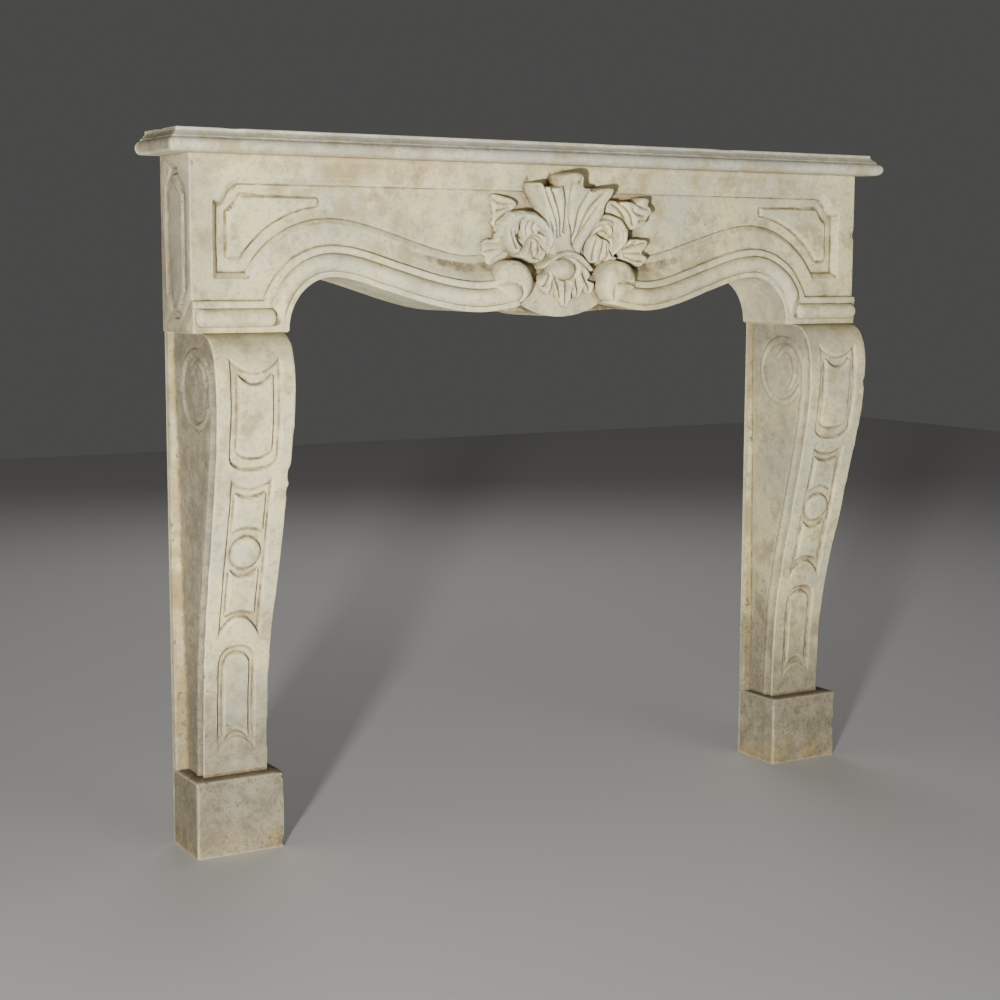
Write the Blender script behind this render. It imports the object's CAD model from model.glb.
# %% [markdown]
# A carved limestone mantel stands free of its wall: two scrolled jambs, a carved frieze and a
# moulded shelf. The solids it is built on are already right in size, so every visible stone here is
# a denser skin that keeps the solid's form and adds the worn carving. Lengths are in millimetres
# until the very end, because stone cutters' sizes are easier to read that way.

# %% Open the frame
import math

import bmesh
import bpy
import numpy as np
from mathutils import Matrix, Vector


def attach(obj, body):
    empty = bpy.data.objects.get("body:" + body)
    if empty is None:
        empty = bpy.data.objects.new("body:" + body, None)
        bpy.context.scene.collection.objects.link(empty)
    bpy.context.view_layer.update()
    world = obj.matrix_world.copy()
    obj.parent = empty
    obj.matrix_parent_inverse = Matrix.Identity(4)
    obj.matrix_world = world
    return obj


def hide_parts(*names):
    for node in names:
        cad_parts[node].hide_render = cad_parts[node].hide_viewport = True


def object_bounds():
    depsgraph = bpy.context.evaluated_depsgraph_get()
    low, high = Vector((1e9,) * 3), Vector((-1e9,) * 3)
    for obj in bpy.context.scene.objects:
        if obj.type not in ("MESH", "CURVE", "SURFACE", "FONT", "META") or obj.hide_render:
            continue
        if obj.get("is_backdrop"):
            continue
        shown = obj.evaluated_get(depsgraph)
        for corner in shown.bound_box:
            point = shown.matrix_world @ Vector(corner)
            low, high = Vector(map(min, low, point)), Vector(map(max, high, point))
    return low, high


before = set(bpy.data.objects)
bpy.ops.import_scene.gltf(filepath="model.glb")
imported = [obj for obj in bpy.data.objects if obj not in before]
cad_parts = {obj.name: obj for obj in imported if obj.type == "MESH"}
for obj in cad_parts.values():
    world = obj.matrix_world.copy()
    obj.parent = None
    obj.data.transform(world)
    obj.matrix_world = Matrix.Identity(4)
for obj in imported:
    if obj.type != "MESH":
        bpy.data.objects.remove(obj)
cad_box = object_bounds()
MM = 0.001
BACK = 88
JOINT = 0.3
print("solids' box:", cad_box)

# %% [markdown]
# Every stone is a closed skin of quads: a stack of rings, each with the same number of points.
# numpy works out all the points at once, and one call hands them to Blender, far quicker than face
# by face.

# %% Rings into a skin
WELD = 2e-6


def mix(a, b, t):
    return a + (b - a) * t


def smooth(t):
    t = np.clip(t, 0, 1)
    return t * t * (3 - 2 * t)


def arc(t):
    """A quarter circle: 1 at t = 0, down to 0 at t = 1 and beyond."""
    return np.sqrt(np.clip(1 - t ** 2, 0, 1))


def bell(t):
    """A soft hump: 1 at t = 0, nearly 0 beyond 2."""
    return np.exp(-t ** 2)


def place(x, depth, z):
    """Points in metres, from distance along, depth in front of the back plane, and height."""
    x, depth, z = np.broadcast_arrays(np.asarray(x, float), depth, z)
    return np.stack([x * MM, (BACK - depth) * MM, z * MM], axis=-1)


def link(name, data):
    """A new object in the scene, at the origin and unturned."""
    made = bpy.data.objects.new(name, data)
    bpy.context.scene.collection.objects.link(made)
    return made


def neaten(mesh, weld=False):
    """Cuts faces of many corners into triangles and turns every face outward."""
    bm = bmesh.new()
    bm.from_mesh(mesh)
    if weld:
        bmesh.ops.remove_doubles(bm, verts=bm.verts, dist=WELD)
        bmesh.ops.dissolve_degenerate(bm, edges=bm.edges, dist=WELD / 2)
    bmesh.ops.triangulate(bm, faces=[f for f in bm.faces if len(f.verts) > 4])
    bmesh.ops.recalc_face_normals(bm, faces=bm.faces)
    bm.to_mesh(mesh)
    bm.free()
    print(mesh.name, len(mesh.polygons), "faces")


def skin(name, rings):
    """A closed mesh object from an array of rings, shaped (rings, points, 3), in metres."""
    count, size = rings.shape[:2]
    grid = np.arange(count * size).reshape(count, size)
    low, high = grid[:-1], grid[1:]
    quads = np.stack([low, np.roll(low, -1, 1), np.roll(high, -1, 1), high], -1).reshape(-1, 4)
    mesh = bpy.data.meshes.new(name)
    mesh.from_pydata(rings.reshape(-1, 3).tolist(), [], quads.tolist() + grid[[0, -1]].tolist())
    neaten(mesh, weld=True)
    return link(name, mesh)


def bake(target):
    """Turns the object's modifiers into plain mesh."""
    graph = bpy.context.evaluated_depsgraph_get()
    mesh = bpy.data.meshes.new_from_object(target.evaluated_get(graph))
    target.modifiers.clear()
    old = target.data
    target.data = mesh
    bpy.data.meshes.remove(old)


print("helpers for rings of points are ready")

# %% [markdown]
# Hand-cut stone is never dead flat. A little value noise, worked out from a hashed lattice so that
# it is the same on every run, moves each surface by a few tenths of a millimetre.

# %% Unevenness of hand-cut stone
def lattice(i, j, k, seed):
    h = (i * 374761393 + j * 668265263 + k * 2147483647 + seed * 1442695041) & 0xFFFFFFFF
    h = ((h ^ (h >> 13)) * 1274126177) & 0xFFFFFFFF
    return ((h ^ (h >> 16)) & 0xFFFF) / 32767.5 - 1


def noise(points, size, seed=0):
    """Smooth noise from -1 to 1 at points in metres, with lumps of about the given size in mm."""
    p = points / (size * MM)
    cell = np.floor(p).astype(np.int64)
    f = smooth(p - cell)
    share = (1 - f, f)
    total = 0
    for dx, dy, dz in np.ndindex(2, 2, 2):
        weight = share[dx][..., 0] * share[dy][..., 1] * share[dz][..., 2]
        total = total + weight * lattice(*np.moveaxis(cell + (dx, dy, dz), -1, 0), seed)
    return total


trial = np.array([[0, 0, 0], [0.3, 0, 0.5], [0.6, 0, 1]])
print("noise at three points:", np.round(noise(trial, 34), 2))

# %% [markdown]
# The opening is an elliptic shoulder over each jamb, then a long S that runs down to a scroll
# beside the keystone. Its mouldings keep their distance from that edge and are mitred where they
# meet the level moulding over the jamb, so everything is worked out from one edge curve and its
# normals.

# %% The opening's edge
FRIEZE_HALF, FRIEZE_DEPTH, FRIEZE_BOTTOM, FRIEZE_TOP = 630, 118, 802, 1064
ARCH_CENTRE = (403, 804.5)
ARCH_RADII = (73, 80)
CROWN_X, SHOULDER_X = 403, 476
ARCH_KNOTS = ((403, 884.5, 0), (320, 866, 0.3), (158, 829.8, 0),
              (130, 832, -0.13), (103, 837, -0.22), (83, 842, -0.27))
DROP_LOW, DROP_RADIUS, DROP_HALF = 821, 149, 80


def hermite(x0, y0, m0, x1, y1, m1, x):
    run = x1 - x0
    t = (x - x0) / run
    return ((2 * t ** 3 - 3 * t ** 2 + 1) * y0 + (t ** 3 - 2 * t ** 2 + t) * run * m0
            + (3 * t ** 2 - 2 * t ** 3) * y1 + (t ** 3 - t ** 2) * run * m1)


def drop_z(x):
    """The keystone's lower edge, an arc of a circle."""
    return DROP_LOW + DROP_RADIUS - np.sqrt(np.maximum(DROP_RADIUS ** 2 - x ** 2, 1))


def edge_z(x):
    """Height of the opening's edge between the crown of the arch and the middle."""
    x = np.asarray(x, float)
    last_x, last_z, _ = ARCH_KNOTS[-1]
    step = mix(drop_z(DROP_HALF), last_z, (x - DROP_HALF) / (last_x - DROP_HALF))
    z = np.where(x > DROP_HALF, step, drop_z(x))
    for (xa, za, ma), (xb, zb, mb) in zip(ARCH_KNOTS, ARCH_KNOTS[1:]):
        z = np.where((x >= xb) & (x <= xa), hermite(xa, za, ma, xb, zb, mb, x), z)
    return z


def arch_point(theta, offset):
    a, b = ARCH_RADII
    nx, nz = b * np.cos(theta), a * np.sin(theta)
    size = np.hypot(nx, nz)
    return (ARCH_CENTRE[0] + a * np.cos(theta) + offset * nx / size,
            ARCH_CENTRE[1] + b * np.sin(theta) + offset * nz / size)


def mitre_angle(offset):
    """Where the shoulder's moulding, at each offset, meets the level moulding over the jamb."""
    low, high = np.zeros_like(offset), np.full_like(offset, math.pi / 2)
    for _ in range(40):
        middle = (low + high) / 2
        below = arch_point(middle, offset)[1] < FRIEZE_BOTTOM + offset
        low, high = np.where(below, middle, low), np.where(below, high, middle)
    return high


def sweep_point(x, offset):
    slope = (edge_z(x) - edge_z(x - 0.5)) * 2
    size = np.hypot(1, slope)
    return x - offset * slope / size, edge_z(x) + offset / size


print("the edge at its crown, middle and scroll:", np.round(edge_z([403, 0, 100]), 1))

# %% [markdown]
# The frieze is one skin. Its rings stand side by side along the edge, and each ring climbs from the
# soffit over the fillet, the round moulding, the second fillet and the flat band, then over the
# sunk panel to the top. Rows are placed on purpose where the real stone has a line, so the lines
# stay crisp without a dense mesh everywhere.

# %% Rows and rings of the frieze
FILLET_RISE, ROLL_FROM, ROLL_TO, ROLL_RISE = 6, 9, 36, 17.5
BAND_FILLET_RISE, BAND_TO, PANEL_FROM = 7.5, 78, 88
FLAT_RISE, FLAT_OVER_JAMB, ROLL_FADE = 3.2, 6.6, 26
CUSHION_FROM, CUSHION_TO, CUSHION_TO_RIGHT = 498, 625, 629.6
SWELL, SWELL_FROM, SWELL_FULL, SWELL_POWER = 36, 330, 100, 1.3
PANEL_TOP, PANEL_SIDE, PANEL_FOOT, PANEL_BEVEL = 1022, 586, 891, 9
PANEL_CORNER = (550, 992)
PANEL_DEEP, PANEL_SHALLOW = 12, 6
FIELD_TOP, FIELD_SIDE, FIELD_BOTTOM, FIELD_OFFSET, FIELD_BELOW = 1001, 567, 917, 109.5, 5
FIELD_TIP = 425
BETWEEN_ROWS = 34

mould_rows = np.concatenate([
    [0, 0.6, 1.6, 4, 7.6, 8.4, 9],
    ROLL_FROM + (ROLL_TO - ROLL_FROM) * (1 - np.cos(np.pi * np.arange(1, 14) / 14)) / 2,
    [36, 36.4, 37.2, 39, 43, 46, 47.2, 47.9, 48.5, 50, 54, 60, 66, 72, 76,
     78, 79.5, 81.5, 84, 86, 87.2, 88, 88.8, 90]])
top_rows = np.array([
    1010, 1014, 1018, 1020.5, 1021.6, 1022.4, 1023.4, 1025, 1028, 1030,
    1031, 1032, 1035, 1042, 1050, 1058, 1062.4, 1063.6, 1063.85])
level_steps = np.concatenate([[0, 0.004, 0.012, 0.03], np.linspace(0.05, 1, 44)[:-1]])
shoulder_steps = np.linspace(0, 1, 64)[:-1]
sweep_steps = np.concatenate([np.arange(CROWN_X, 98, -2.6), [98]])
drop_steps = np.concatenate([[96, 92, 88, 84, 80, 76], np.arange(72, -0.1, -3)])


def frieze_stations():
    """For each station, the edge's x and the (x, z) of every moulding row."""
    rows = mould_rows
    start = mitre_angle(rows)
    mitre_x, _ = arch_point(start, rows)
    level = FRIEZE_BOTTOM + rows
    stations = [(FRIEZE_HALF, mix(FRIEZE_HALF, mitre_x, t), level) for t in level_steps]
    stations += [(SHOULDER_X, *arch_point(mix(start, math.pi / 2, t), rows)) for t in shoulder_steps]
    stations += [(x, *sweep_point(x, rows)) for x in sweep_steps]
    stations += [(x, np.full_like(rows, x), edge_z(x) + rows) for x in drop_steps]
    return [np.array(column) for column in zip(*stations)]


def swell(x):
    """How far the moulding leans out on its way to the scroll."""
    return SWELL * np.clip((SWELL_FROM - x) / (SWELL_FROM - SWELL_FULL), 0, 1) ** SWELL_POWER


def moulding_height(d, x, z, edge, cushion_to):
    """How proud the moulding stands at distance d from the edge, with worn arrises."""
    half = (ROLL_TO - ROLL_FROM) / 2
    h = FILLET_RISE * (0.75 + 0.25 * arc(1 - np.clip(d / 1.6, 0, 1)))
    roll = FLAT_RISE + (ROLL_RISE - FLAT_RISE) * arc(np.clip((d - ROLL_FROM - half) / half, -1, 1))
    past = np.maximum.reduce([x - cushion_to + half, CUSHION_FROM + half - x, np.zeros_like(x)])
    r = np.hypot(half * (past / half) ** 1.8, z - FRIEZE_BOTTOM - ROLL_FROM - half) / half
    cushion = (r < 1) * (FLAT_RISE + (ROLL_RISE - FLAT_RISE) * arc(r))
    rise = smooth((z - FRIEZE_BOTTOM - d - 4) / ROLL_FADE)
    groove = 2 * (rise < 0.5) * bell((r - 1.05) / 0.07)
    over_jamb = np.maximum(mix(FLAT_OVER_JAMB, roll, rise), cushion) - groove
    h = np.where((d > 8.4) & (d < 36.4), np.where(edge >= SHOULDER_X, over_jamb, roll), h)
    fillet = BAND_FILLET_RISE * smooth((48.4 - d) / 1.6)
    return np.where(d >= 36.4, fillet * smooth((d - 35.8) / 1.2), h)


def corner_inside(x, z, pull):
    """Distance inside the panel's cut corner, an ogee from the side to the top; pull moves it in."""
    ax, az = PANEL_SIDE - pull, PANEL_CORNER[1] - pull
    bx, bz = PANEL_CORNER[0] - pull, PANEL_TOP - pull
    along = np.hypot(bx - ax, bz - az)
    nx, nz = (bz - az) / along, (ax - bx) / along
    s = ((x - ax) * (bx - ax) + (z - az) * (bz - az)) / along ** 2
    return -((x - ax) * nx + (z - az) * nz) - 2.6 * np.sin(2 * np.pi * np.clip(s, 0, 1))


def frieze_face(x, z, d, edge, cushion_to):
    """Depth of the frieze's front at every row and station."""
    over_arch = mix(0.45, 1, smooth((edge - SWELL_FULL) / 60))
    keep = np.where(edge >= SHOULDER_X, 1, over_arch)
    inside_scroll = smooth((edge - 78) / 14)
    h = moulding_height(d, x, z, edge, cushion_to) * keep * inside_scroll
    h = h + 10 * (1 - inside_scroll) * smooth((60 - d) / 20)
    lean = np.where(edge < SHOULDER_X, swell(edge), 0) * inside_scroll
    h = h + lean * (1 - smooth((d - 47) / (BAND_TO - 47)) ** 0.8)
    inner = np.minimum.reduce([d - PANEL_FROM, PANEL_TOP - z, PANEL_SIDE - x, z - PANEL_FOOT,
                               corner_inside(x, z, 0)])
    deep = mix(PANEL_SHALLOW, PANEL_DEEP, smooth((x - 300) / 170))
    cut = np.clip((inner + PANEL_BEVEL) / PANEL_BEVEL, 0, 1)
    h = h - deep * np.where(cut < 1, 0.16 * smooth(cut * 6) + 0.62 * cut ** 1.5, 1)
    h = h - 0.9 * bell((inner - 0.8) / 1.5)
    field = np.minimum.reduce([d - FIELD_OFFSET, FIELD_TOP - z, FIELD_SIDE - x, z - FIELD_BOTTOM,
                               corner_inside(x, z, 15), (x - FIELD_TIP) * 1.5])
    h = h + (deep - FIELD_BELOW) * smooth((field + 3.5) / 4) - 0.8 * bell((field + 4) / 1.6)
    return FRIEZE_DEPTH + h


print("rows of the mouldings:", len(mould_rows), "and of the top:", len(top_rows))

# %% [markdown]
# Each station now gives half a ring: the soffit, the mouldings, the panel, the top and the flat
# back. The other half of the mantel is the same rings with x turned round, only its cushion ends a
# little farther from the corner. A little noise keeps the flats from looking machined.

# %% Skin of the frieze
SOFFIT_STEPS = np.array([0, 0.25, 0.5, 0.75, 0.96, 0.99])


def distance_to_edge(x, z):
    """Distance of points above the mouldings from the opening's edge or the level moulding's foot."""
    ex, ez = arch_point(np.linspace(0, math.pi / 2, 90), 0)
    sx = np.arange(CROWN_X, 0, -3)
    best = np.full(x.shape, 1e9)
    for cx, cz in zip(np.concatenate([ex, sx]), np.concatenate([ez, edge_z(sx)])):
        best = np.minimum(best, (x - cx) ** 2 + (z - cz) ** 2)
    return np.minimum(np.sqrt(best), np.where(x > 470, z - FRIEZE_BOTTOM, 1e9))


def frieze_skin():
    edge, xs, zs = frieze_stations()
    count = len(edge)
    rise = np.linspace(0, 1, BETWEEN_ROWS + 1)[1:-1]
    x_up = np.repeat(xs[:, -1:], len(rise) + len(top_rows), 1)
    z_up = np.concatenate([mix(zs[:, -1:], top_rows[0], rise), np.tile(top_rows, (count, 1))], 1)
    x, z = np.concatenate([xs, x_up], 1), np.concatenate([zs, z_up], 1)
    d = np.concatenate([np.tile(mould_rows, (count, 1)), distance_to_edge(x_up, z_up)], 1)
    worn = 1.6 * (1 - arc(1 - np.clip((FRIEZE_HALF - x) / 2.2, 0, 1)))
    worn = worn + 1.2 * (1 - smooth((FRIEZE_TOP - z) / 2))
    z_clear = np.maximum(z, FRIEZE_BOTTOM + JOINT / 2)
    halves = []
    for side, cushion_to in ((1, CUSHION_TO_RIGHT), (-1, CUSHION_TO)):
        depth = frieze_face(x, z, d, edge[:, None], cushion_to) - worn
        points = place(side * x, depth, z_clear)
        lumps = 0.30 * noise(points, 34, 1) + 0.16 * noise(points, 9, 2)
        points[..., 1] -= lumps * MM * np.clip((FRIEZE_HALF - x) / 6, 0, 1)
        soffit = place(side * x[:, :1], mix(0, depth[:, :1], SOFFIT_STEPS), z_clear[:, :1])
        top_back = place(side * x[:, -1:], 0, top_rows[-1])
        halves.append(np.concatenate([soffit, points, top_back], 1))
    right, left = halves
    return skin("frieze_stone", np.concatenate([right, left[-2::-1]], 0))


frieze = frieze_skin()

# %% [markdown]
# The carving in the middle is an acanthus shell between two C-scrolls, with a ball and a hanging
# leaf below and loose leaves at the sides. A carver first bosses out each mass, then cuts the
# veins, and so does this: masses are outlines or spines with a height, veins are lines that take
# stone away, and the highest mass wins wherever two overlap. Drawn lines are written as x,z pairs.

# %% Masses and veins
GRID_STEP = 1.15
GRID_LEFT, GRID_RIGHT, GRID_TOP = -168, 188, 1060.5
UNDER = -14
grid_columns = np.arange(GRID_LEFT, GRID_RIGHT, GRID_STEP)
grid_foot = edge_z(np.abs(grid_columns)) + 3
grid_rise = np.linspace(0, 1, int((GRID_TOP - 826) / GRID_STEP))
GRID_X = np.repeat(grid_columns[:, None], len(grid_rise), 1)
GRID_Z = mix(grid_foot[:, None], GRID_TOP, grid_rise[None, :])


def spots(text):
    """Points written as x,z pairs; a rim's points also carry a half width and a height."""
    return [tuple(map(float, spot.split(","))) for spot in text.split()]


def veins(text):
    """Veins written one to a row: a width, a depth and the points of a line."""
    rows = [row.split(None, 2) for row in text.strip().splitlines()]
    return [(spots(line), float(width), float(depth)) for width, depth, line in rows]


def inside_outline(x, z, outline):
    """Distance inside a closed outline, negative outside it."""
    best, inside = np.full(x.shape, 1e9), np.zeros(x.shape, bool)
    for (ax, az), (bx, bz) in zip(outline, outline[1:] + outline[:1]):
        ux, uz = bx - ax, bz - az
        t = np.clip(((x - ax) * ux + (z - az) * uz) / (ux * ux + uz * uz), 0, 1)
        best = np.minimum(best, (x - ax - t * ux) ** 2 + (z - az - t * uz) ** 2)
        crosses = (az > z) != (bz > z)
        with np.errstate(divide="ignore", invalid="ignore"):
            inside ^= crosses & (x < ax + (z - az) * ux / np.where(uz == 0, 1e-9, uz))
    return np.where(inside, 1, -1) * np.sqrt(best)


def nearest(x, y, path):
    """Distance from points to a polyline and how far along it the nearest spot is, from 0 to 1."""
    best, where = np.full(x.shape, 1e9), np.zeros(x.shape)
    last = len(path) - 1
    for k, ((ax, ay), (bx, by)) in enumerate(zip(path[:-1], path[1:])):
        ux, uy = bx - ax, by - ay
        t = np.clip(((x - ax) * ux + (y - ay) * uy) / (ux * ux + uy * uy), 0, 1)
        gap = (x - ax - t * ux) ** 2 + (y - ay - t * uy) ** 2
        closer = gap < best
        best, where = np.where(closer, gap, best), np.where(closer, (k + t) / last, where)
    return np.sqrt(best), where


def round_corners(outline):
    """Cuts every corner of a closed outline, so it reads as carved rather than as a polygon."""
    return [(mix(ax, bx, t), mix(az, bz, t))
            for (ax, az), (bx, bz) in zip(outline, outline[1:] + outline[:1]) for t in (0.22, 0.78)]


def mass(outline, height, edge=7, lean=(0, 0), drop=0.55):
    """A mass with rounded shoulders; lean is its rise per mm along x and z from its middle."""
    inside = inside_outline(GRID_X, GRID_Z, round_corners(outline))
    cx, cz = (sum(p[k] for p in outline) / len(outline) for k in (0, 1))
    top = height + lean[0] * (GRID_X - cx) + lean[1] * (GRID_Z - cz)
    shoulder = drop + (1 - drop) * arc(1 - np.clip(inside / edge, 0, 1))
    return np.where(inside > 0, top * shoulder, UNDER)


def ridge(spine):
    """A rounded ridge along a spine of (x, z, half width, height)."""
    gap, along = nearest(GRID_X, GRID_Z, [p[:2] for p in spine])
    spot, knots = along * (len(spine) - 1), np.arange(len(spine))
    half, top = (np.interp(spot, knots, [p[k] for p in spine]) for k in (2, 3))
    return np.where(gap < half, top * (0.5 + 0.5 * arc(gap / half)), UNDER)


def vein(line, width, depth):
    """A V-shaped cut along a line, with softly rounded lips and ends that fade out."""
    gap, along = nearest(GRID_X, GRID_Z, line)
    fade = smooth(along * 8) * 0.6 + 0.4
    return fade * depth * (0.65 * bell(gap / width) + 0.35 * bell(gap / (2.6 * width)))


def spread_line(points):
    """A smooth line through a few points."""
    p = np.array(points)
    fine = np.linspace(0, len(p) - 1, (len(p) - 1) * 4 + 1)
    slope = np.gradient(p, axis=0)
    i = np.clip(fine.astype(int), 0, len(p) - 2)
    return hermite(i[:, None], p[i], slope[i], i[:, None] + 1, p[i + 1], slope[i + 1], fine[:, None])


def veined(body, lines, floor=-99):
    """The body with veins cut into it, none of them deeper than the floor."""
    for line, width, depth in lines:
        cut = vein(spread_line(line), width, depth)
        body = np.where(body > 0, np.maximum(body - cut, floor), body)
    return body


print("grid of the carving:", GRID_X.shape)

# %% [markdown]
# The shell is an open fan of five lobes. Its outline is notched where two lobes part, and a vein
# runs from each notch down to the root. The middle lobe curls forward at its tip, so the heights
# rise there.

# %% The shell
SHELL_OUTLINE = spots("""
    -16,1043 -14,1047.5 -6,1051 0,1052.5 12,1054 21,1052 26,1045 25,1037 25.5,1030 33,1029 40,1028.5
    43,1024 48,1024 52,1027 62,1029 75,1030.5 84,1030 86.5,1025 84,1015 78,1008 72,1000 71,985
    50,965 30,930 22,915 -22,915 -30,930 -38,960 -47,986 -48,1000 -56,1015 -65,1029 -63,1034
    -58,1035.5 -53,1034.5 -49.5,1031 -46.5,1026.5 -43,1029.5 -37,1029.5 -34.5,1024 -30,1028
    -22,1028.5 -15,1031 -16,1038""")
SHELL_VEINS = veins("""
    2.3 13 -14,1037 -8,1022 -4,1010 -2.5,1000 -3,990 -4,975 -6,958
    1.7 7 2,1033 2,1016 2,1000 2,985 4,970 8,955 12,940 20,928
    1.9 9 43,1024 36,1018 30,1008 23,995 17,975 13,955 12,942
    2 9 66,1020 50,1005 38,990 28,970 20,950 17,938
    1.7 6 58,1000 50,990 35,972 25,955 20,940
    1.9 9 -34.5,1024 -30,1018 -24,1007 -18,995 -14,975 -12,952
    1.6 6.5 -47,1027 -43,1018 -35,1003 -27,988 -21,970 -18,950
    1.9 7 -59,1028 -52,1016 -44,1003 -37,990 -31,975 -27,960""")
SHELL_SOFT_SIDE = spots("-74,1040 -69,1027 -60,1013 -52,1000 -50,988 -44,975")


def shell_mass():
    flat = mass(SHELL_OUTLINE, 38, 5)
    tips, root = smooth((GRID_Z - 990) / 50), smooth((965 - GRID_Z) / 45)
    body = veined(flat + 8 * tips - 9 * root, SHELL_VEINS, 14)
    gap, _ = nearest(GRID_X, GRID_Z, SHELL_SOFT_SIDE)
    body = body * np.where(GRID_X < -20, mix(0.35, 1, smooth(gap / 14)), 1)
    curl = bell(np.hypot((GRID_X - 8) / 1.5, GRID_Z - 1043) / 9)
    body = body + 4 * curl - vein(spots("12,1035 17,1037 19,1041"), 1.6, 5)
    return np.where(flat > 0, body, UNDER)


print("shell stands", round(float(shell_mass().max()), 1), "mm proud")

# %% [markdown]
# On each side of the shell a broad rim curls like a C, and acanthus leaves roll inside it. The rim
# is a ridge whose width and height are read off its spine, and the leaves are separate masses cut
# by veins that are deepest where a leaf rolls over the next.

# %% C-scrolls with their leaves
LEFT_RIM = spots("""
    -112,955,7,20 -108,968,9,26 -96,979,9.5,32 -78,982,9,36 -60,980,8.5,38 -45,971,8,39
    -34,957,7.5,39 -30,941,7,37 -35,926,6,33 -44,914,5,29""")
LEFT_BED = spots("-106,935 -104,960 -90,978 -60,980 -38,960 -34,935 -44,912 -80,914 -98,922")
LEFT_LEAVES = (
    (31, """-108,972 -96,986 -80,987 -76,977 -82,966 -82,954 -80,950 -88,956 -87,944 -78,934
     -80,925 -88,920 -98,924 -108,938 -112,955"""),
    (28, """-80,976 -68,981 -54,976 -42,965 -35,952 -32,940 -37,937 -41,945 -50,951 -60,951
     -68,946 -73,938 -78,948 -80,962"""),
    (26, """-64,948 -54,947 -45,939 -37,931 -33,921 -37,910 -48,906 -62,908 -74,914 -80,924
     -72,936"""))
LEFT_VEINS = veins("""
    1.8 12 -78,980 -84,968 -84,957 -79,948
    1.8 12 -94,956 -88,942 -79,933 -83,925
    1.4 6 -70,972 -74,962 -72,950
    1.4 6 -58,974 -62,964 -58,956
    1.8 12 -50,956 -41,954 -34,946 -34,938
    1.5 7 -60,944 -62,932 -58,918
    1.5 7 -49,938 -48,928 -52,916
    1.6 11 -44,935 -37,928 -36,919 -39,911
    1.5 7 -58,914 -50,916 -45,911
    1 3.5 -104,972 -92,984 -76,987 -60,985 -47,978 -37,966
    1.5 4 -104,962 -99,945 -93,930""")
RIGHT_RIM = spots("""
    16,905,7,25 24,925,8,29 32,945,9,32 45,963,10,35 62,977,10,38 82,979,9,40 99,973,10,40
    110,959,11,39 111,944,10,36 104,931,7,30 98,923,4,24""")
RIGHT_BED = spots("28,912 40,945 60,974 90,974 106,955 104,935 96,918 70,908 40,904")
RIGHT_LEAVES = (
    (32, """56,966 68,973 84,973 92,965 93,955 89,950 84,957 76,961 66,958 58,955"""),
    (27, """40,908 40,925 45,942 55,954 66,954 73,950 78,948 86,946 91,938 90,927 96,921 108,916
     98,909 80,912 60,906"""))
RIGHT_VEINS = veins("""
    1.9 12 62,976 72,979 84,977 92,971 95,962 94,952
    1.7 11 41,926 46,940 50,951 57,959
    1.8 12 68,955 75,950 84,948 91,940 90,930 95,920
    1.4 5 70,966 76,966 83,961
    1.5 7 54,910 56,926 62,944
    1.5 7 68,912 72,926 76,942
    1.4 6 84,914 84,926 83,938
    1.4 6 90,962 100,950 102,936
    1.2 4 100,966 108,955 108,940
    1.4 7 70,909 80,914 94,912 106,911""")


def scroll_mass(rim, bed, leaves, lines):
    leaf_masses = [mass(spots(outline), height, 6) for height, outline in leaves]
    total = np.maximum.reduce([ridge(rim), mass(bed, 19, 4)] + leaf_masses)
    return veined(total, lines, 8)


print("leaves in the scrolls:", len(LEFT_LEAVES), "left and", len(RIGHT_LEAVES), "right")

# %% [markdown]
# The loose leaves lie on the panel beside the scrolls. Those on the left are worn nearly flat,
# those on the right still stand two centimetres proud, so each one carries its own height and lean.

# %% Loose leaves at the sides
SIDE_LEAVES = (
    (11, (0.2, 0), """-126,1010 -123,1016.5 -112,1015.5 -100,1012.5 -90,1010 -84,1005 -81,999
     -87,991 -95,987 -105,983 -113,977 -119,971 -117,965 -109,964 -100,968 -92,964 -104,955 -118,960
     -126,972 -125,985 -122,994 -129,1002""",
     "-126,1012 -119,1004 -104,1000 -90,1001", "-120,990 -108,992 -96,996"),
    (25, (0.02, 0.02), """78,999 83,1006 90,1010.5 100,1010.5 108,1006 115,1008.5 125,1009.5
     135,1008 143,1005 146,1011 152,1015.5 163,1016 168.5,1011 165,1003 170,1000 174,992 171,985
     165,983 167,977 161,971 153,965 140,962 128,961 112,972 98,985 80,990""",
     "132,999 138,991 148,986 157,985", "108,1005 120,998 131,985 134,972",
     "92,1004 105,997 118,982", "143,1004 152,999 163,997", "145,975 155,978 165,978"),
    (7.5, (0.17, 0), """-146,924 -140,929 -143,936 -133,946 -123,945 -116,950 -102,947 -92,938
     -93,922 -101,912 -110,906 -119,907 -129,901 -138,908 -136,916""",
     "-140,938 -122,938 -102,934", "-142,924 -122,928 -102,930", "-126,908 -114,918 -100,928"),
    (23, (0, 0), """112,928 124,940 132,948.5 150,948 167.5,946.5 168,938 161,930 155,924
     163,921 168.5,914 162,908 153,900.5 140,904 128,908 112,913""",
     "166,943 145,938 118,930", "154,924 140,924 118,924", "160,911 142,912 120,919",
     "148,946 136,938 120,932"))


def side_leaf(height, lean, outline, *lines):
    """One loose leaf; the low ones are rubbed down towards their edges."""
    leaf = mass(spots(outline), height, 6, lean, 0.62 if height > 15 else 0.25)
    return veined(leaf, [(spots(line), 1.8, min(6, 0.45 * height)) for line in lines])


print("loose leaves:", len(SIDE_LEAVES))

# %% [markdown]
# Below the shell a band arches over a ball, and a notched leaf hangs from it over the keystone. The
# mouldings of both arches end here in round scrolls: the fillet swells over the top of each and
# wraps round the end of the torus.

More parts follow.
